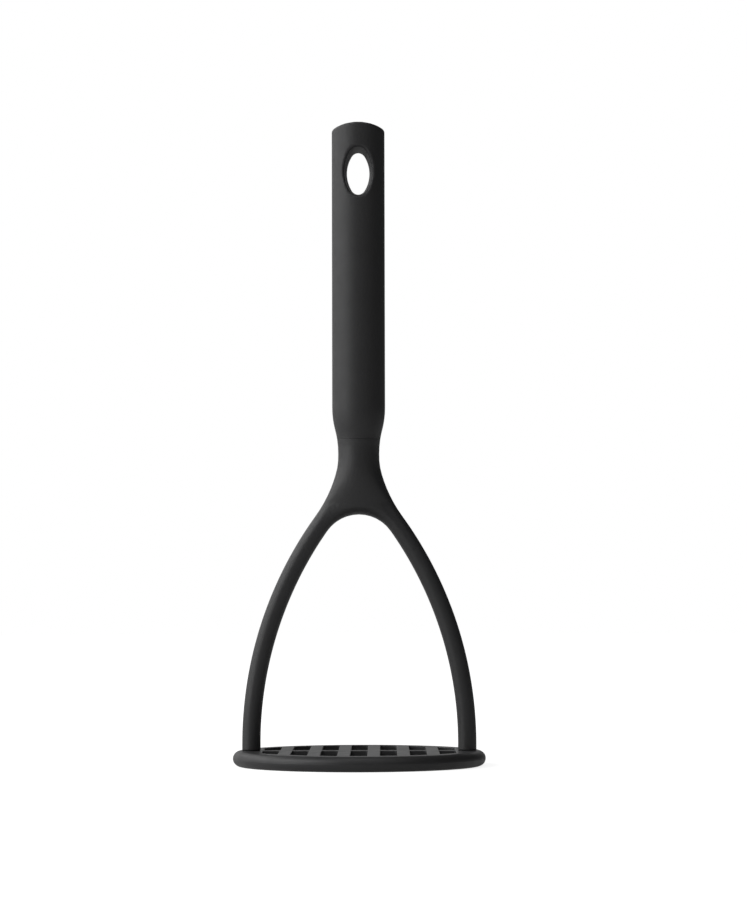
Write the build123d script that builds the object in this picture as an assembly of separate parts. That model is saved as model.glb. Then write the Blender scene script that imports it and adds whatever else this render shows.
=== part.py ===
from build123d import *
from math import atan, atan2, cos, degrees, radians, sin, sqrt, tan
import os

# A potato masher in three mouldings, in millimetres. Z is up, Y points to the back, and the
# origin is the middle of the face that the masher stands on. The stiff wishbone frame plugs
# into the slotted mashing plate at its two feet, and its ribbed tang fills the soft grip.

# Mashing plate, a disc with a full round rim and two rows of slots
plate_diameter = 100.0
plate_thickness = 6.0
rim_width = 7.0
rim_bands = 8
slot_width = 6.6
slot_pitch = 11.6
middle_bar_width = 5.0

# Wishbone: two round legs that bend inwards and meet in an arch
leg_diameter = 7.3
foot_inset = 7.28
foot_straight = 2.8
leg_bend_radius = 150.0
leg_stations = 10
arch_radius = 15.3

# The flares run from the legs into the neck, and a tighter curve ends them there
neck_diameter = 16.36
neck_straight = 1.6
flare_radius = 53.6
flare_overcut = 1.08
neck_blend_radius = 24.0

# The yoke swells from the legs' thickness to the round neck, with a round nose over the arch
yoke_top_drop = 3.0
yoke_depth_rise = 29.0
yoke_end_turn = 62.0
yoke_stations = 13
arch_stations = 6

# Where the yoke's surfaces meet each other and the legs, one stands a hair proud of the other
yoke_lip = 0.05
front_swell = 0.06
nose_overlap = 0.08
nose_passes = 5

# Spigots under the feet, in blind sockets of the plate
spigot_diameter = 4.6
spigot_length = 3.6
spigot_clearance = 0.05
socket_end_gap = 0.2

# Grip
grip_diameter = 21.06
seam_above_neck = 6.9
seam_bevel = 0.3
shoulder_length = 18.1
grip_straight = 110.6
crown_rise = 2.2
crown_edge_bevel = 0.4

# Hanging hole through the grip, an oval that is narrowest halfway through
hole_below_crown = 19.5
hole_waist_width = 8.9
hole_waist_height = 16.6
hole_end_radius = 2.9
hole_flare = 1.5
hole_edge_bevel = 0.7

# Tang inside the grip: a round root, crossed ribs with locking discs, and an eye
grip_wall = 2.75
tang_root_diameter = 12.6
tang_root_length = 7.5
rib_thickness = 3.2
rib_inset = 1.2
disc_thickness = 2.4
disc_count = 3
eye_thickness = 6.0
eye_lining = 1.3
eye_wall = 2.2

# One overrun serves every cut that has to pass right through
overrun = 1.0

plate_radius = plate_diameter / 2
leg_radius = leg_diameter / 2
neck_radius = neck_diameter / 2
grip_radius = grip_diameter / 2

# Bend of the right-hand leg, in the front view
foot_x = plate_radius - foot_inset
bend_x = foot_x - leg_bend_radius
bend_z = plate_thickness + foot_straight
outer_bend = leg_bend_radius + leg_radius
inner_bend = leg_bend_radius - leg_radius

# The flare's arc touches the leg's outer side, and its blend touches the neck
flare_x = neck_radius - flare_overcut + flare_radius
flare_z = bend_z + sqrt((outer_bend + flare_radius) ** 2 - (flare_x - bend_x) ** 2)
flare_foot_z = bend_z + (flare_z - bend_z) * outer_bend / (outer_bend + flare_radius)
blend_x = neck_radius + neck_blend_radius
blend_drop = sqrt((flare_radius - neck_blend_radius) ** 2 - (flare_x - blend_x) ** 2)
blend_z = flare_z - blend_drop
flare_top_z = flare_z - blend_drop * flare_radius / (flare_radius - neck_blend_radius)

# The arch touches the inner sides of both legs, where the yoke sits on them
arch_z = bend_z + sqrt((inner_bend - arch_radius) ** 2 - bend_x**2)
arch_end_turn = degrees(atan2(arch_z - bend_z, -bend_x))
yoke_low_z = bend_z + inner_bend * sin(radians(arch_end_turn))

# Heights of the yoke, the neck and the grip
yoke_top_z = blend_z - yoke_top_drop
neck_top_z = blend_z + neck_straight
seam_z = blend_z + seam_above_neck
shoulder_z = neck_top_z + shoulder_length
corner_z = shoulder_z + grip_straight
crown_z = corner_z + crown_rise
hole_z = crown_z - hole_below_crown

# The tang leaves the same wall of grip all round
tang_width = grip_diameter - 2 * grip_wall
eye_border = eye_lining + eye_wall
rib_low_z = seam_z + tang_root_length
rib_top_z = hole_z - hole_waist_height / 2 - eye_border

# The slots end on a circle, and their outer columns stay clear of the feet
slot_field_radius = plate_radius - rim_width
last_column = int((foot_x - leg_radius - slot_width / 2) // slot_pitch)


def s_curve(z, low_z, low, high_z, high):
    """Value at height z on two equal arcs that are upright at both ends."""
    rise = high_z - low_z
    step = high - low
    radius = (rise**2 + step**2) / (4 * step)
    if z <= low_z:
        return low
    if z >= high_z:
        return high
    if z < low_z + rise / 2:
        return low + radius - sqrt(radius**2 - (z - low_z) ** 2)
    return high - radius + sqrt(radius**2 - (high_z - z) ** 2)


def half_width(z):
    """Half the width of the yoke, the neck or the grip's shoulder in the front view."""
    if z <= flare_foot_z:
        return bend_x + sqrt(outer_bend**2 - (z - bend_z) ** 2)
    if z <= flare_top_z:
        return flare_x - sqrt(flare_radius**2 - (flare_z - z) ** 2)
    if z <= blend_z:
        return blend_x - sqrt(neck_blend_radius**2 - (blend_z - z) ** 2)
    return s_curve(z, neck_top_z, neck_radius, shoulder_z, grip_radius)


def upright_share(z):
    """Cosine of the lean of the outline, which is one where it is upright."""
    if z >= blend_z:
        return 1.0
    if z <= flare_foot_z:
        return sqrt(1 - ((z - bend_z) / outer_bend) ** 2)
    if z <= flare_top_z:
        return sqrt(1 - ((flare_z - z) / flare_radius) ** 2)
    return sqrt(1 - ((blend_z - z) / neck_blend_radius) ** 2)


def level_oval(z):
    """Sizes of a level cut of the solid yoke: an oval of four arcs, stretched by the lean."""
    lean = upright_share(z)
    width = half_width(z) * lean
    depth = s_curve(z, yoke_top_z - yoke_depth_rise, leg_radius, yoke_top_z, neck_radius)
    depth += front_swell
    turn = yoke_end_turn
    if z >= blend_z or depth >= width:
        return lean, width, width, width, width, turn
    spread = 1 + tan(radians(turn)) - 1 / cos(radians(turn))
    end = max(width - (width - depth) / spread, leg_radius)
    front = ((width - end) ** 2 + depth**2 - end**2) / (2 * (depth - end))
    turn = degrees(atan2(front - depth, width - end))
    return lean, width, depth, end, front, turn


def level_section(z):
    """The oval face at a height of the solid yoke."""
    lean, width, depth, end, front, turn = level_oval(z)
    end_x = (width - end) / lean
    with BuildSketch(Plane.XY.offset(z)) as section:
        with BuildLine():
            for side, start in ((1, 0), (-1, 180)):
                EllipticalCenterArc(
                    (side * end_x, 0),
                    end / lean,
                    end,
                    start_angle=start - turn,
                    arc_size=2 * turn,
                )
                EllipticalCenterArc(
                    (0, side * (depth - front)),
                    front / lean,
                    front,
                    start_angle=start + turn,
                    arc_size=180 - 2 * turn,
                )
        make_face()
    return section.sketch


def front_depth(x, z):
    """Half the thickness of the solid yoke behind a point of the front view."""
    lean, width, depth, end, front, turn = level_oval(z)
    across = abs(x) * lean
    if across < width - end + end * cos(radians(turn)):
        return depth - front + sqrt(front**2 - across**2)
    return sqrt(max(end**2 - (across - width + end) ** 2, 0))


def arch_edge():
    """Places along the edge of the arch, from a little down the right leg to the left one."""
    leg_turn = arch_end_turn - degrees(leg_diameter / inner_bend)
    leg_x = bend_x + inner_bend * cos(radians(leg_turn))
    places = [(leg_x, bend_z + inner_bend * sin(radians(leg_turn)), leg_turn)]
    for i in range(arch_stations + 1):
        turn = arch_end_turn + (90 - arch_end_turn) * i / arch_stations
        x = arch_radius * cos(radians(turn))
        places.append((x, arch_z + arch_radius * sin(radians(turn)), turn))
    return places + [(-x, z, 180 - turn) for x, z, turn in reversed(places[:-1])]


def nose_section(x, z, turn):
    """Cut across the arch's edge that leaves a round nose, as thick as the yoke is there.

    The yoke's thickness is read where the nose ends, so its radius is closed in on in passes.
    """
    nose = leg_radius
    for _ in range(nose_passes):
        centre_x = x + nose * cos(radians(turn))
        centre_z = z + nose * sin(radians(turn))
        nose = front_depth(centre_x, centre_z) + nose_overlap
    reach = grip_radius + overrun
    outward = (cos(radians(turn)), 0, sin(radians(turn)))
    along = (-sin(radians(turn)), 0, cos(radians(turn)))
    with BuildSketch(Plane(origin=(x, 0, z), x_dir=outward, z_dir=along)) as section:
        with BuildLine():
            Polyline((nose, -nose), (nose, -reach), (-overrun, -reach))
            Line((-overrun, -reach), (-overrun, reach))
            Polyline((-overrun, reach), (nose, reach), (nose, nose))
            ThreePointArc((nose, nose), (0, 0), (nose, -nose))
        make_face()
    return section.sketch


def make_yoke():
    """Arch, flares and neck: a body lofted upwards, opened under the arch and rounded there."""
    rise = seam_z - yoke_low_z
    heights = [yoke_low_z + rise * i / yoke_stations for i in range(yoke_stations + 1)]
    body = loft([level_section(z) for z in heights], ruled=True)
    middle = Pos(0, 0, arch_z) * Rot(90, 0, 0)
    opening = middle * Cylinder(arch_radius - overrun / 2, grip_diameter + overrun)
    nose = loft([nose_section(*place) for place in arch_edge()], ruled=True)
    return body - opening - nose


def make_leg():
    """The right-hand leg, a round bar that bends inwards and ends level under the yoke."""
    radius = leg_radius - yoke_lip
    cuts = [Pos(foot_x, 0, plate_thickness) * Circle(radius)]
    for i in range(leg_stations):
        turn = radians(arch_end_turn * i / leg_stations)
        outward = (cos(turn), 0, sin(turn))
        centre = (bend_x + leg_bend_radius * cos(turn), 0, bend_z + leg_bend_radius * sin(turn))
        square_cut = Plane(origin=centre, x_dir=outward, z_dir=(-sin(turn), 0, cos(turn)))
        cuts.append(square_cut * Circle(radius))
    climb = yoke_low_z - bend_z
    lean = sqrt(1 - (climb / leg_bend_radius) ** 2)
    top = Pos(bend_x + leg_bend_radius * lean, 0, yoke_low_z) * Ellipse(radius / lean, radius)
    return loft(cuts + [top], ruled=True)


def oval(border):
    """The hanging hole's outline at its waist, a border wider all round, on the front plane."""
    end = hole_end_radius + border
    half_height = hole_waist_height / 2 + border
    half_width = hole_waist_width / 2 + border
    end_z = half_height - end
    side = (end_z**2 + half_width**2 - end**2) / (2 * (half_width - end))
    turn = degrees(atan2(side - half_width, end_z))
    with BuildSketch(Plane.XZ) as outline:
        with BuildLine():
            for flip, start in ((1, 0), (-1, 180)):
                CenterArc((0, hole_z + flip * end_z), end, start + 90 - turn, 2 * turn)
                CenterArc(
                    (flip * (side - half_width), hole_z), side, start + 90 + turn, 180 - 2 * turn
                )
        make_face()
    return outline.sketch


def make_tang():
    """The core that the grip is moulded over."""
    half_root = tang_root_length / 2
    root = Pos(0, 0, seam_z + half_root) * Cylinder(tang_root_diameter / 2, tang_root_length)
    rib_length = rib_top_z - rib_low_z
    rib_width = tang_width - 2 * rib_inset
    rib_middle = Pos(0, 0, rib_low_z + rib_length / 2)
    cross_rib = rib_middle * Box(rib_thickness, rib_width, rib_length)
    web_length = hole_z - rib_low_z
    web = Pos(0, 0, rib_low_z + web_length / 2) * Box(rib_width, rib_thickness, web_length)
    tang = root + cross_rib + web + extrude(oval(eye_border), eye_thickness / 2, both=True)
    for i in range(disc_count):
        disc_z = rib_low_z + rib_length * (i + 1) / (disc_count + 1)
        tang += Pos(0, 0, disc_z) * Cylinder(tang_width / 2, disc_thickness)
    return tang - extrude(oval(eye_lining), eye_thickness / 2 + overrun, both=True)


def make_frame():
    """The wishbone with its tang above and a spigot under each foot."""
    leg = make_leg()
    frame = make_yoke() + leg + mirror(leg, Plane.YZ) + make_tang()
    for side in (-1, 1):
        spigot_z = plate_thickness - spigot_length / 2
        frame += Pos(side * foot_x, 0, spigot_z) * Cylinder(spigot_diameter / 2, spigot_length)
    return frame


def make_hole():
    """The hanging hole, widening from its waist to both faces of the grip."""
    widening = -degrees(atan(hole_flare / grip_radius))
    reach = grip_radius + overrun
    front = extrude(oval(0), reach, taper=widening)
    return front + mirror(front, Plane.XZ)


def is_mouth(edge):
    """Whether an edge of the grip is the rim of the hanging hole, at the front or back."""
    middle = edge.position_at(0.5)
    reach = hole_waist_height / 2 + hole_flare + overrun
    return abs(middle.Y) > grip_radius / 2 and abs(middle.Z - hole_z) < reach


def make_grip(frame):
    """The soft sleeve: a turned shoulder and bar, an arched crown, the hole and the cavity."""
    seam_radius = half_width(seam_z)
    foot_z = seam_z + seam_bevel
    half_z = (neck_top_z + shoulder_z) / 2
    with BuildSketch(Plane.XZ) as profile:
        with BuildLine():
            Polyline((0, seam_z), (seam_radius - seam_bevel, seam_z), (half_width(foot_z), foot_z))
            ThreePointArc(
                (half_width(foot_z), foot_z),
                (half_width((foot_z + half_z) / 2), (foot_z + half_z) / 2),
                (half_width(half_z), half_z),
            )
            ThreePointArc(
                (half_width(half_z), half_z),
                (half_width((half_z + shoulder_z) / 2), (half_z + shoulder_z) / 2),
                (grip_radius, shoulder_z),
            )
            Polyline(
                (grip_radius, shoulder_z),
                (grip_radius, crown_z + overrun),
                (0, crown_z + overrun),
                (0, seam_z),
            )
        make_face()
    body = revolve(profile.sketch, Axis.Z)
    with BuildSketch(Plane.XZ) as arch:
        with BuildLine():
            ThreePointArc((grip_radius, corner_z), (0, crown_z), (-grip_radius, corner_z))
            Polyline(
                (-grip_radius, corner_z),
                (-grip_radius, seam_z),
                (grip_radius, seam_z),
                (grip_radius, corner_z),
            )
        make_face()
    body &= extrude(arch.sketch, amount=grip_radius + overrun, both=True)
    body = chamfer(body.faces().sort_by(Axis.Z)[-1].edges(), crown_edge_bevel)
    body -= make_hole()
    body = chamfer([edge for edge in body.edges() if is_mouth(edge)], hole_edge_bevel)
    return body - frame


def slot_outline(column, row):
    """One slot's outline: it runs front to back and ends on the edge of the slot field."""
    near_y = middle_bar_width / 2
    length = slot_field_radius - near_y
    strip = Pos(column * slot_pitch, row * (near_y + length / 2)) * Rectangle(slot_width, length)
    return strip & Circle(slot_field_radius)


def make_plate():
    """The slotted disc that the food is pressed through, with a socket for each foot."""
    half = plate_thickness / 2
    bands = []
    for i in range(rim_bands + 1):
        turn = radians(180 * i / rim_bands - 90)
        band = Circle(plate_radius - half + half * cos(turn))
        bands.append(Pos(0, 0, half + half * sin(turn)) * band)
    plate = loft(bands, ruled=True)
    for column in range(-last_column, last_column + 1):
        for row in (-1, 1):
            plate -= extrude(slot_outline(column, row), amount=plate_thickness)
    depth = spigot_length + socket_end_gap
    for side in (-1, 1):
        socket = Cylinder(spigot_diameter / 2 + spigot_clearance, depth)
        plate -= Pos(side * foot_x, 0, plate_thickness - depth / 2) * socket
    return plate


if __name__ == "__main__":
    os.makedirs("parts", exist_ok=True)
    frame = make_frame()
    grip = make_grip(frame)
    plate = make_plate()
    for name, piece in (("frame", frame), ("grip", grip), ("mashing_plate", plate)):
        print(name, len(piece.solids()), "solid", round(piece.volume), "cubic mm", piece.is_valid)
        export_step(piece, "parts/" + name + ".step")
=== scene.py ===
import math

import bmesh
import bpy
from mathutils import Matrix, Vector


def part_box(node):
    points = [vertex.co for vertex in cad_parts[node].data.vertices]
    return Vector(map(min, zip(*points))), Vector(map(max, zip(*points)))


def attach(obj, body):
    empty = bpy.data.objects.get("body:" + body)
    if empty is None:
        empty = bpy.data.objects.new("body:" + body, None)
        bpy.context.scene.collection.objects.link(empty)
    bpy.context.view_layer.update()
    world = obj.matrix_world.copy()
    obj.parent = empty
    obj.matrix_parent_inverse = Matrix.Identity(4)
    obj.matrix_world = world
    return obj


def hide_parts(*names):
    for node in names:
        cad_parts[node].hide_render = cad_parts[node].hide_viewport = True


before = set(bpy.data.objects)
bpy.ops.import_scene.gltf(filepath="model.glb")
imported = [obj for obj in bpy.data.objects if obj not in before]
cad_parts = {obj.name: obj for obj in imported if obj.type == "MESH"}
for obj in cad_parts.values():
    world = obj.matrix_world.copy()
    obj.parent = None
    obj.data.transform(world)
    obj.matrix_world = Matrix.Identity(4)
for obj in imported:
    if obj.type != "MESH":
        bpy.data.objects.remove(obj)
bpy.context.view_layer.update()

# The view. The photograph was taken from just above the plate with a long lens tilted up a
# little, so the plate shows as a thin oval and the handle keeps the same width all the way.
millimetre = 0.001
camera_distance = 1249 * millimetre
camera_height = 67.9 * millimetre
camera_side = 10.3 * millimetre
camera_pitch = math.radians(2.50)
camera_yaw = math.radians(0.209)
camera_roll = math.radians(0.126)
lens_length = 124.05
sensor_width = 36.0
nearest_seen = 0.05
farthest_seen = 20.0

camera = bpy.data.objects.new("photo_camera", bpy.data.cameras.new("photo_camera"))
bpy.context.scene.collection.objects.link(camera)
camera.data.sensor_width = sensor_width
camera.data.lens = lens_length
camera.data.clip_start = nearest_seen
camera.data.clip_end = farthest_seen
camera.location = (camera_side, -camera_distance, camera_height)
camera.rotation_euler = (math.pi / 2 + camera_pitch, camera_roll, camera_yaw)
bpy.context.scene.camera = camera
bpy.context.scene.view_settings.view_transform = "Standard"

# The studio. Wide soft boxes on the left, from the front corner round to the back, give the
# long fall of light across the handle. Two weak ones, right and overhead, open the shadows.
lamp_aim = (0.0, 0.0, 0.13)
lamp_reach = 1.4
overhead_reach = 0.3


def soft_box(name, side_degrees, reach, height, width, tall, power):
    """A rectangular lamp, placed by its angle round the masher from the camera."""
    lamp = bpy.data.lights.new(name, "AREA")
    lamp.shape = "RECTANGLE"
    lamp.size = width
    lamp.size_y = tall
    lamp.energy = power
    side = math.radians(side_degrees)
    place = (math.sin(side) * reach, -math.cos(side) * reach, height)
    gaze = [there - here for there, here in zip(lamp_aim, place)]
    turn = math.atan2(gaze[1], gaze[0]) - math.pi / 2
    tilt = math.atan2(gaze[2], math.hypot(gaze[0], gaze[1]))
    holder = bpy.data.objects.new(name, lamp)
    holder.location = place
    holder.rotation_euler = (math.pi / 2 + tilt, 0, turn)
    bpy.context.scene.collection.objects.link(holder)


# Each line gives the angle to the right in degrees, the distance and height of the lamp, its
# width and how tall it is, all in metres, and its power in watts.
soft_box("high_left_soft_box", -58, lamp_reach, 1.15, 1.5, 0.8, 12.0)
soft_box("side_left_soft_box", -97, lamp_reach, 0.55, 1.3, 0.9, 5.0)
soft_box("back_left_soft_box", -125, lamp_reach, 1.05, 1.2, 0.8, 3.8)
soft_box("low_left_soft_box", -60, lamp_reach, 0.20, 1.0, 0.36, 2.8)
soft_box("right_soft_box", 22, lamp_reach, 1.15, 1.2, 0.7, 2.0)
soft_box("overhead_soft_box", 0, overhead_reach, 1.60, 1.0, 1.0, 2.7)

# The backdrop. White paper far behind the masher: the lens sees it as plain white, also
# through something clear, and glossy surfaces mirror the part of it behind and to the left.
paper_white = (1.0, 1.0, 1.0, 1.0)
paper_strength = 1.0
room_strength = 0.04
mirrored_side = (-0.34, 0.94, 0.0)
mirrored_rim = 0.6
mirrored_middle = 0.95
mirrored_paper = 0.55


def worked_out(tree, operation, *terms):
    """A number worked out from plain numbers or from what other nodes give."""
    node = tree.nodes.new("ShaderNodeMath")
    node.operation = operation
    for term, entry in zip(terms, node.inputs):
        if isinstance(term, bpy.types.NodeSocket):
            tree.links.new(term, entry)
        else:
            entry.default_value = term
    return node.outputs["Value"]


def whiteness(tree, mirrored_share):
    """How white a ray sees the studio: fully from the lens, straight or through something
    clear, and by a share off a glossy surface."""
    path = tree.nodes.new("ShaderNodeLightPath")
    lens_ray = path.outputs["Is Camera Ray"]
    clear_ray = path.outputs["Is Transmission Ray"]
    seen = worked_out(tree, "MAXIMUM", lens_ray, clear_ray)
    mirrored = worked_out(tree, "MULTIPLY", path.outputs["Is Glossy Ray"], mirrored_share)
    return worked_out(tree, "MAXIMUM", seen, mirrored)


world = bpy.data.worlds.new("studio")
world.use_nodes = True
bpy.context.scene.world = world
nodes, links = world.node_tree.nodes, world.node_tree.links
nodes.clear()
room = nodes.new("ShaderNodeBackground")
room.inputs["Color"].default_value = paper_white
room.inputs["Strength"].default_value = room_strength
paper = nodes.new("ShaderNodeBackground")
paper.inputs["Color"].default_value = paper_white
paper.inputs["Strength"].default_value = paper_strength
direction = nodes.new("ShaderNodeTexCoord")
back_left = nodes.new("ShaderNodeVectorMath")
back_left.operation = "DOT_PRODUCT"
back_left.inputs[1].default_value = mirrored_side
links.new(direction.outputs["Generated"], back_left.inputs[0])
paper_edge = nodes.new("ShaderNodeMapRange")
paper_edge.interpolation_type = "SMOOTHSTEP"
paper_edge.inputs["From Min"].default_value = mirrored_rim
paper_edge.inputs["From Max"].default_value = mirrored_middle
paper_edge.inputs["To Max"].default_value = mirrored_paper
links.new(back_left.outputs["Value"], paper_edge.inputs["Value"])
pick = nodes.new("ShaderNodeMixShader")
links.new(whiteness(world.node_tree, paper_edge.outputs["Result"]), pick.inputs["Fac"])
links.new(room.outputs["Background"], pick.inputs[1])
links.new(paper.outputs["Background"], pick.inputs[2])
world_out = nodes.new("ShaderNodeOutputWorld")
links.new(pick.outputs["Shader"], world_out.inputs["Surface"])

# The floor, a wide sheet of pale board that the masher stands on. It is no lamp, yet it glows:
# white to the lens further out, a little less near the masher, where the lamps' soft shadow
# under the plate shows, and a quarter as much in glossy rays, a painted reflection.
floor_reach = 4.0
board_colour = (0.45, 0.45, 0.45, 1.0)
shadow_inner = 0.10
shadow_outer = 0.45
shadow_glow = 0.86
far_glow = 1.0
reflected_floor_glow = 0.25


def piece_object(name, body):
    """An object that holds a finished bmesh."""
    mesh = bpy.data.meshes.new(name)
    body.to_mesh(mesh)
    body.free()
    piece = bpy.data.objects.new(name, mesh)
    bpy.context.scene.collection.objects.link(piece)
    return piece


board = bmesh.new()
bmesh.ops.create_grid(board, x_segments=1, y_segments=1, size=floor_reach)
floor = piece_object("floor", board)

pale_board = bpy.data.materials.new("pale_board")
pale_board.use_nodes = True
nodes, links = pale_board.node_tree.nodes, pale_board.node_tree.links
nodes.clear()
matte = nodes.new("ShaderNodeBsdfDiffuse")
matte.inputs["Color"].default_value = board_colour
place = nodes.new("ShaderNodeTexCoord")
away = nodes.new("ShaderNodeVectorMath")
away.operation = "LENGTH"
links.new(place.outputs["Object"], away.inputs[0])
lift = nodes.new("ShaderNodeMapRange")
lift.interpolation_type = "SMOOTHSTEP"
lift.inputs["From Min"].default_value = shadow_inner
lift.inputs["From Max"].default_value = shadow_outer
lift.inputs["To Min"].default_value = shadow_glow
lift.inputs["To Max"].default_value = far_glow
links.new(away.outputs["Value"], lift.inputs["Value"])
# Glossy rays see a share of the glow: a painted reflection of a bright floor on the masher.
white = whiteness(pale_board.node_tree, reflected_floor_glow)
strength = worked_out(pale_board.node_tree, "MULTIPLY", white, lift.outputs["Result"])
glow = nodes.new("ShaderNodeEmission")
links.new(strength, glow.inputs["Strength"])
both = nodes.new("ShaderNodeAddShader")
links.new(matte.outputs["BSDF"], both.inputs[0])
links.new(glow.outputs["Emission"], both.inputs[1])
board_out = nodes.new("ShaderNodeOutputMaterial")
links.new(both.outputs["Shader"], board_out.inputs["Surface"])
floor.data.materials.append(pale_board)

# The mashing plate, a flat disc of glass-filled nylon moulded in one shot. Its rim is a full
# half-round, two rows of slots let the food through, and two blind sockets take the feet.
plate_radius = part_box("mashing_plate")[1][0]
plate_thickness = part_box("mashing_plate")[1][2]
rim_sides = 192
rim_steps = 10
rim_flat = 0.06 * millimetre
rim_width = 7.0 * millimetre
slot_width = 6.6 * millimetre
slot_pitch = 11.6 * millimetre
slot_columns = 7
slot_end_parts = 4
slot_corner = 0.9 * millimetre
slot_corner_steps = 4
slot_corner_angle = math.radians(25)
slot_edge = 0.35 * millimetre
slot_edge_steps = 3
slot_edge_angle = math.radians(60)
slot_field_radius = plate_radius - rim_width
middle_bar = 5.0 * millimetre
foot_inset = 7.28 * millimetre
foot_x = plate_radius - foot_inset
socket_radius = 2.35 * millimetre
socket_depth = 3.8 * millimetre
socket_sides = 32
hair = 0.001 * millimetre
corner_angle = math.radians(50)


def apply_modifiers(piece):
    """Turns a piece's modifiers into plain mesh."""
    bpy.context.view_layer.update()
    depsgraph = bpy.context.evaluated_depsgraph_get()
    worked = bpy.data.meshes.new_from_object(piece.evaluated_get(depsgraph))
    piece.modifiers.clear()
    piece.data = worked


def finish_mesh(piece, body):
    """Writes a worked mesh back, smooth but for its corners."""
    bmesh.ops.recalc_face_normals(body, faces=body.faces[:])
    for face in body.faces:
        face.smooth = True
    body.to_mesh(piece.data)
    body.free()
    piece.data.set_sharp_from_angle(angle=corner_angle)
    piece.data.materials.clear()


def corners_of(parts):
    """The corners among the parts that an operator hands back."""
    return [part for part in parts if isinstance(part, bmesh.types.BMVert)]


def is_level(edge):
    """Whether both ends of an edge are at one height."""
    return abs(edge.verts[0].co.z - edge.verts[1].co.z) < hair


def outer_end(x, row):
    """How far out a row's slots reach at a place along the plate."""
    return row * math.sqrt(slot_field_radius**2 - x**2)


def slot_plug(tool, column, row):
    """The block that cuts one slot right through: a bar whose outer end follows the rim."""
    block = bmesh.ops.create_cube(tool, size=1.0)["verts"]
    slot_x = column * slot_pitch
    end = []
    for corner in block:
        side = 1 if corner.co.x > 0 else -1
        outer = corner.co.y * row > 0
        corner.co.x = slot_x + side * slot_width / 2
        corner.co.y = row * middle_bar / 2
        corner.co.z = plate_thickness * (2 if corner.co.z > 0 else -1)
        if outer:
            corner.co.y = outer_end(corner.co.x, row)
            end.append(corner)
    across = []
    for edge in tool.edges:
        if is_level(edge) and edge.verts[0] in end and edge.verts[1] in end:
            across.append(edge)
    cuts = slot_end_parts - 1
    added = bmesh.ops.subdivide_edges(tool, edges=across, cuts=cuts, use_grid_fill=True)
    for corner in corners_of(added["geom_inner"]):
        corner.co.y = outer_end(corner.co.x, row)
    uprights = []
    for edge in tool.edges:
        place = edge.verts[0].co
        own = abs(place.x - slot_x) < slot_width and place.y * row > 0
        if own and not is_level(edge) and edge.calc_face_angle() > slot_corner_angle:
            uprights.append(edge)
    bmesh.ops.bevel(
        tool,
        geom=uprights,
        offset=slot_corner,
        offset_type="OFFSET",
        segments=slot_corner_steps,
        profile=0.5,
        affect="EDGES",
        clamp_overlap=True,
        material=-1,
    )


disc = bmesh.new()
bmesh.ops.create_circle(disc, cap_ends=True, segments=rim_sides, radius=plate_radius)
upper = bmesh.ops.extrude_face_region(disc, geom=disc.faces[:])["geom"]
bmesh.ops.translate(disc, verts=corners_of(upper), vec=(0, 0, plate_thickness))
bmesh.ops.recalc_face_normals(disc, faces=disc.faces[:])
bmesh.ops.bevel(
    disc,
    geom=[edge for edge in disc.edges if is_level(edge)],
    offset=(plate_thickness - rim_flat) / 2,
    offset_type="OFFSET",
    segments=rim_steps,
    profile=0.5,
    affect="EDGES",
    material=-1,
)
plate = piece_object("slotted_plate", disc)

plugs = bmesh.new()
for column in range(-(slot_columns // 2), slot_columns // 2 + 1):
    for row in (-1, 1):
        slot_plug(plugs, column, row)
for side in (-1, 1):
    socket = bmesh.ops.create_cone(
        plugs,
        cap_ends=True,
        segments=socket_sides,
        radius1=socket_radius,
        radius2=socket_radius,
        depth=2 * socket_depth,
    )
    bmesh.ops.translate(plugs, verts=socket["verts"], vec=(side * foot_x, 0, plate_thickness))
bmesh.ops.recalc_face_normals(plugs, faces=plugs.faces[:])
cutter = piece_object("slot_cutter", plugs)
cut = plate.modifiers.new("slots", "BOOLEAN")
cut.operation = "DIFFERENCE"
cut.solver = "EXACT"
cut.object = cutter
apply_modifiers(plate)
bpy.data.objects.remove(cutter)

# The edges of the slots are rounded last, on both faces of the plate.
slotted = bmesh.new()
slotted.from_mesh(plate.data)
bmesh.ops.remove_doubles(slotted, verts=slotted.verts[:], dist=hair)
slot_rims = []
for edge in slotted.edges:
    middle = (edge.verts[0].co + edge.verts[1].co) / 2
    on_face = min(abs(middle.z), abs(middle.z - plate_thickness)) < hair
    inner = math.hypot(middle.x, middle.y) < slot_field_radius + hair
    if is_level(edge) and on_face and inner and edge.calc_face_angle() > slot_edge_angle:
        slot_rims.append(edge)
bmesh.ops.bevel(
    slotted,
    geom=slot_rims,
    offset=slot_edge,
    offset_type="OFFSET",
    segments=slot_edge_steps,
    profile=0.5,
    affect="EDGES",
    material=-1,
)
finish_mesh(plate, slotted)
even_shading = plate.modifiers.new("even_shading", "WEIGHTED_NORMAL")
even_shading.keep_sharp = True

# The finish of the mouldings: the black is a little cloudy with faint flecks, handling has
# rubbed the gloss unevenly, and the mould leaves a fine grain and a parting line.
nylon_tone = (0.030, 0.030, 0.031)
nylon_roughness = 0.45
nylon_grain = 0.30 * millimetre
cloud_size = 14.0 * millimetre
cloud_detail = 4.0
cloud_swing = 0.14
fleck_pitch = 1.3 * millimetre
fleck_edge = 0.12
fleck_heart = 0.05
fleck_share = 0.18
fleck_colour = (0.09, 0.09, 0.09, 1.0)
rub_size = 5.0 * millimetre
rub_detail = 5.0
rub_low = 0.3
rub_high = 0.7
rub_swing = 0.04
parting_width = 0.12 * millimetre
grain_detail = 3.0
grain_depth = 0.14
grain_strength = 0.6


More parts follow.
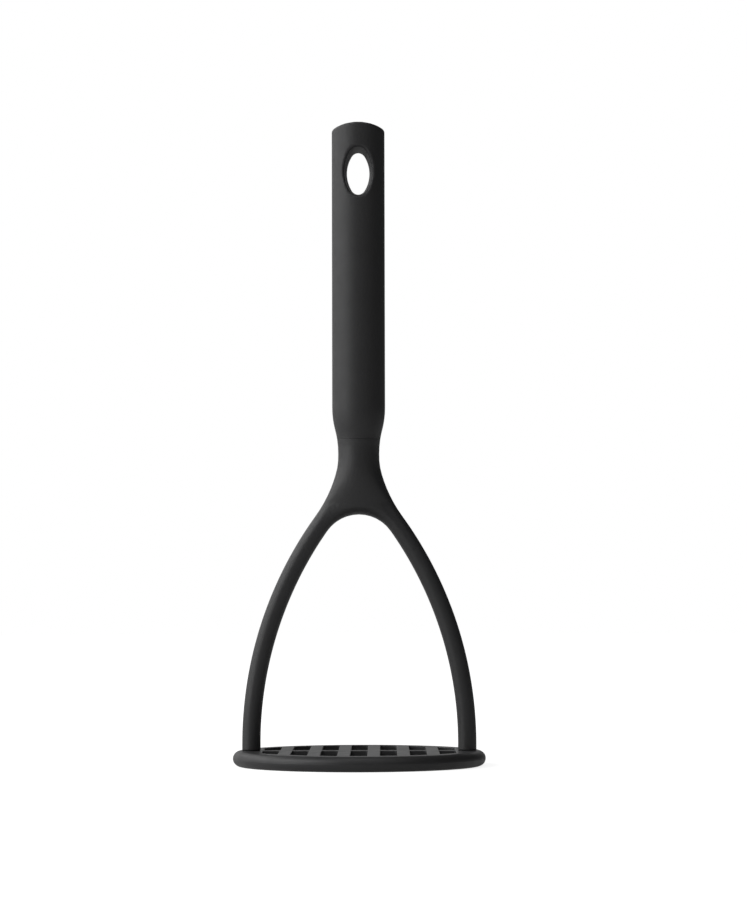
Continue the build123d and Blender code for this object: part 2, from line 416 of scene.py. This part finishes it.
def moulded_finish(name, tone, roughness, grain, parting_axis, parting_place):
    """Dark moulded plastic, with its parting line at one place along one axis."""
    finish = bpy.data.materials.new(name)
    finish.use_nodes = True
    tree = finish.node_tree
    nodes, links = tree.nodes, tree.links
    shader = nodes["Principled BSDF"]
    place = nodes.new("ShaderNodeTexCoord")

    clouds = nodes.new("ShaderNodeTexNoise")
    clouds.inputs["Scale"].default_value = 1 / cloud_size
    clouds.inputs["Detail"].default_value = cloud_detail
    links.new(place.outputs["Object"], clouds.inputs["Vector"])
    tint = nodes.new("ShaderNodeMix")
    tint.data_type = "RGBA"
    tint.inputs["A"].default_value = [share * (1 - cloud_swing) for share in tone] + [1.0]
    tint.inputs["B"].default_value = [share * (1 + cloud_swing) for share in tone] + [1.0]
    links.new(clouds.outputs["Fac"], tint.inputs["Factor"])

    flecks = nodes.new("ShaderNodeTexVoronoi")
    flecks.inputs["Scale"].default_value = 1 / fleck_pitch
    links.new(place.outputs["Object"], flecks.inputs["Vector"])
    fleck = nodes.new("ShaderNodeMapRange")
    fleck.inputs["From Min"].default_value = fleck_edge
    fleck.inputs["From Max"].default_value = fleck_heart
    fleck.inputs["To Max"].default_value = fleck_share
    links.new(flecks.outputs["Distance"], fleck.inputs["Value"])
    dusted = nodes.new("ShaderNodeMix")
    dusted.data_type = "RGBA"
    dusted.inputs["B"].default_value = fleck_colour
    links.new(tint.outputs["Result"], dusted.inputs["A"])
    links.new(fleck.outputs["Result"], dusted.inputs["Factor"])
    links.new(dusted.outputs["Result"], shader.inputs["Base Color"])

    rub = nodes.new("ShaderNodeTexNoise")
    rub.inputs["Scale"].default_value = 1 / rub_size
    rub.inputs["Detail"].default_value = rub_detail
    links.new(place.outputs["Object"], rub.inputs["Vector"])
    sheen = nodes.new("ShaderNodeMapRange")
    sheen.inputs["From Min"].default_value = rub_low
    sheen.inputs["From Max"].default_value = rub_high
    sheen.inputs["To Min"].default_value = roughness - rub_swing
    sheen.inputs["To Max"].default_value = roughness + rub_swing
    links.new(rub.outputs["Fac"], sheen.inputs["Value"])
    links.new(sheen.outputs["Result"], shader.inputs["Roughness"])

    apart = nodes.new("ShaderNodeSeparateXYZ")
    links.new(place.outputs["Object"], apart.inputs["Vector"])
    aside = worked_out(tree, "SUBTRACT", apart.outputs[parting_axis], parting_place)
    line = nodes.new("ShaderNodeMapRange")
    line.interpolation_type = "SMOOTHSTEP"
    line.inputs["From Min"].default_value = parting_width
    line.inputs["From Max"].default_value = 0.0
    links.new(worked_out(tree, "ABSOLUTE", aside), line.inputs["Value"])
    speckle = nodes.new("ShaderNodeTexNoise")
    speckle.inputs["Scale"].default_value = 1 / grain
    speckle.inputs["Detail"].default_value = grain_detail
    links.new(place.outputs["Object"], speckle.inputs["Vector"])
    relief = worked_out(tree, "ADD", speckle.outputs["Fac"], line.outputs["Result"])
    bump = nodes.new("ShaderNodeBump")
    bump.inputs["Strength"].default_value = grain_strength
    bump.inputs["Distance"].default_value = grain * grain_depth
    links.new(relief, bump.inputs["Height"])
    links.new(bump.outputs["Normal"], shader.inputs["Normal"])
    return finish


plate_finish = moulded_finish(
    "plate_nylon", nylon_tone, nylon_roughness, nylon_grain, "Z", plate_thickness / 2
)
plate.data.materials.append(plate_finish)
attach(plate, "root")
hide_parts("mashing_plate")

# The wishbone frame, one stiff moulding of the same nylon: two round legs, the arch, the
# round neck and the ribbed tang inside the grip. Its feet stand in the plate's sockets.
seam_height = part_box("grip")[0][2]
seam_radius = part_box("frame")[1][1]
seam_slope = 0.15
seam_gap = 0.1 * millimetre
seam_clearance = 0.01 * millimetre
stub_length = 2.0 * millimetre
stub_taper = seam_slope * stub_length / seam_radius
leg_radius = 3.65 * millimetre
leg_bend_radius = 150.0 * millimetre
foot_straight = 2.8 * millimetre
arch_radius = 15.3 * millimetre
leg_sides = 64
leg_steps = 60
leg_overlap = 0.5 * millimetre
spigot_radius = 2.3 * millimetre
spigot_length = 3.6 * millimetre
wishbone_grid = 0.35 * millimetre
wishbone_rounds = 10
ease_share = 0.5
swell_share = -0.515
above = 1
below = -1


def moulding_copy(node):
    """A closed copy of a moulding's construction shape."""
    body = bmesh.new()
    body.from_mesh(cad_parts[node].data)
    bmesh.ops.remove_doubles(body, verts=body.verts[:], dist=hair)
    return body


def edges_of(parts):
    """The edges among the parts that an operator hands back."""
    return [part for part in parts if isinstance(part, bmesh.types.BMEdge)]


def saw_off(body, height, side):
    """Saws off what lies above or below a height, and gives the rim of the cut."""
    parts = body.verts[:] + body.edges[:] + body.faces[:]
    cut = bmesh.ops.bisect_plane(
        body,
        geom=parts,
        dist=hair,
        plane_co=(0, 0, height),
        plane_no=(0, 0, side),
        clear_outer=True,
    )
    return edges_of(cut["geom_cut"])


def draw_out(body, rim, rise, growth):
    """Draws the wall at a cut on by a stub, which grows or narrows as the shoulder does."""
    added = bmesh.ops.extrude_edge_only(body, edges=rim)["geom"]
    bmesh.ops.scale(body, verts=corners_of(added), vec=(growth, growth, 1))
    bmesh.ops.translate(body, verts=corners_of(added), vec=(0, 0, rise))
    return edges_of(added)


def even_skin(piece, grid, rounds):
    """Gives a moulding one skin on an even grid, with its joins and sharp edges eased. Each
    round eases the skin and then swells it back, so the moulding keeps its thickness."""
    skin = piece.modifiers.new("skin", "REMESH")
    skin.mode = "VOXEL"
    skin.voxel_size = grid
    skin.use_smooth_shade = True
    for share in (ease_share, swell_share) * rounds:
        ease = piece.modifiers.new("ease", "SMOOTH")
        ease.factor = share
        ease.iterations = 1
    apply_modifiers(piece)


# Each leg is a round bar that stands up from its spigot and bends inwards to the yoke.
bend_x = foot_x - leg_bend_radius
bend_z = plate_thickness + foot_straight
arch_rise = math.sqrt((leg_bend_radius - leg_radius - arch_radius) ** 2 - bend_x**2)
leg_turn = math.atan2(arch_rise, -bend_x)
yoke_foot = bend_z + (leg_bend_radius - leg_radius) * math.sin(leg_turn)
spigot_z = plate_thickness + (leg_overlap - spigot_length) / 2

legs = bmesh.new()
foot = bmesh.ops.create_circle(legs, cap_ends=True, segments=leg_sides, radius=leg_radius)
bmesh.ops.translate(legs, verts=foot["verts"], vec=(foot_x, 0, plate_thickness))
ankle = bmesh.ops.extrude_face_region(legs, geom=legs.faces[:])["geom"]
bmesh.ops.translate(legs, verts=corners_of(ankle), vec=(0, 0, foot_straight))
bmesh.ops.spin(
    legs,
    geom=ankle,
    cent=(bend_x, 0, bend_z),
    axis=(0, -1, 0),
    angle=leg_turn,
    steps=leg_steps,
    use_merge=False,
)
spigot = bmesh.ops.create_cone(
    legs,
    cap_ends=True,
    segments=leg_sides,
    radius1=spigot_radius,
    radius2=spigot_radius,
    depth=spigot_length + leg_overlap,
)
bmesh.ops.translate(legs, verts=spigot["verts"], vec=(foot_x, 0, spigot_z))
right_leg = legs.verts[:] + legs.edges[:] + legs.faces[:]
bmesh.ops.mirror(legs, geom=right_leg, matrix=Matrix.Identity(4), merge_dist=0.0, axis="X")
bmesh.ops.recalc_face_normals(legs, faces=legs.faces[:])
both_legs = bpy.data.meshes.new("both_legs")
legs.to_mesh(both_legs)
legs.free()

# Yoke and neck are the construction shape above the legs. The neck is drawn on past the seam,
# so that the skin is eased without a step there, and is then sawn off just below the seam. The
# first cut keeps clear of the seam itself, where the saw would run in a face and find no rim.
lower = moulding_copy("frame")
neck_rim = saw_off(lower, seam_height - seam_clearance, above)
neck_end = draw_out(lower, neck_rim, stub_length, 1 + stub_taper)
bmesh.ops.edgeloop_fill(lower, edges=neck_end)
bmesh.ops.edgeloop_fill(lower, edges=saw_off(lower, yoke_foot - leg_overlap, below))
bmesh.ops.recalc_face_normals(lower, faces=lower.faces[:])
lower.from_mesh(both_legs)
bpy.data.meshes.remove(both_legs)
wishbone = piece_object("wishbone_frame", lower)
even_skin(wishbone, wishbone_grid, wishbone_rounds)
lower = bmesh.new()
lower.from_mesh(wishbone.data)
bmesh.ops.edgeloop_fill(lower, edges=saw_off(lower, seam_height - seam_gap / 2, above))
lower.to_mesh(wishbone.data)
lower.free()

# The tang keeps its construction shape. A straight stub carries it down into the neck, where
# the two are joined.
core = moulding_copy("frame")
core_rim = saw_off(core, seam_height + seam_clearance, below)
core_end = draw_out(core, core_rim, -stub_length, 1)
bmesh.ops.edgeloop_fill(core, edges=core_end)
bmesh.ops.recalc_face_normals(core, faces=core.faces[:])
tang = piece_object("tang", core)
weld = wishbone.modifiers.new("weld", "BOOLEAN")
weld.operation = "UNION"
weld.solver = "EXACT"
weld.object = tang
apply_modifiers(wishbone)
bpy.data.objects.remove(tang)
whole = bmesh.new()
whole.from_mesh(wishbone.data)
finish_mesh(wishbone, whole)
frame_finish = moulded_finish("frame_nylon", nylon_tone, nylon_roughness, nylon_grain, "Y", 0.0)
wishbone.data.materials.append(frame_finish)
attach(wishbone, "root")
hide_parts("frame")

# The grip, a soft-touch sleeve moulded over the tang, with an arched crown and the oval
# hanging hole. It ends in a thin seam above the neck.
grip_grid = 0.45 * millimetre
grip_rounds = 8
grip_bevel = 0.3 * millimetre
soft_tone = (0.030, 0.030, 0.031)
soft_roughness = 0.50
soft_grain = 0.22 * millimetre

# As the neck is, the sleeve is drawn on past the seam, eased, and sawn off just above it.
cover = moulding_copy("grip")
cover_rim = saw_off(cover, seam_height + grip_bevel + seam_clearance, below)
cover_end = draw_out(cover, cover_rim, -stub_length, 1 - stub_taper)
bmesh.ops.bridge_loops(cover, edges=cover_end)
bmesh.ops.recalc_face_normals(cover, faces=cover.faces[:])
sleeve = piece_object("soft_grip", cover)
even_skin(sleeve, grip_grid, grip_rounds)
cover = bmesh.new()
cover.from_mesh(sleeve.data)
bmesh.ops.bridge_loops(cover, edges=saw_off(cover, seam_height + seam_gap / 2, below))
finish_mesh(sleeve, cover)
sleeve_finish = moulded_finish("soft_touch", soft_tone, soft_roughness, soft_grain, "Y", 0.0)
sleeve.data.materials.append(sleeve_finish)
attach(sleeve, "root")
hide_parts("grip")
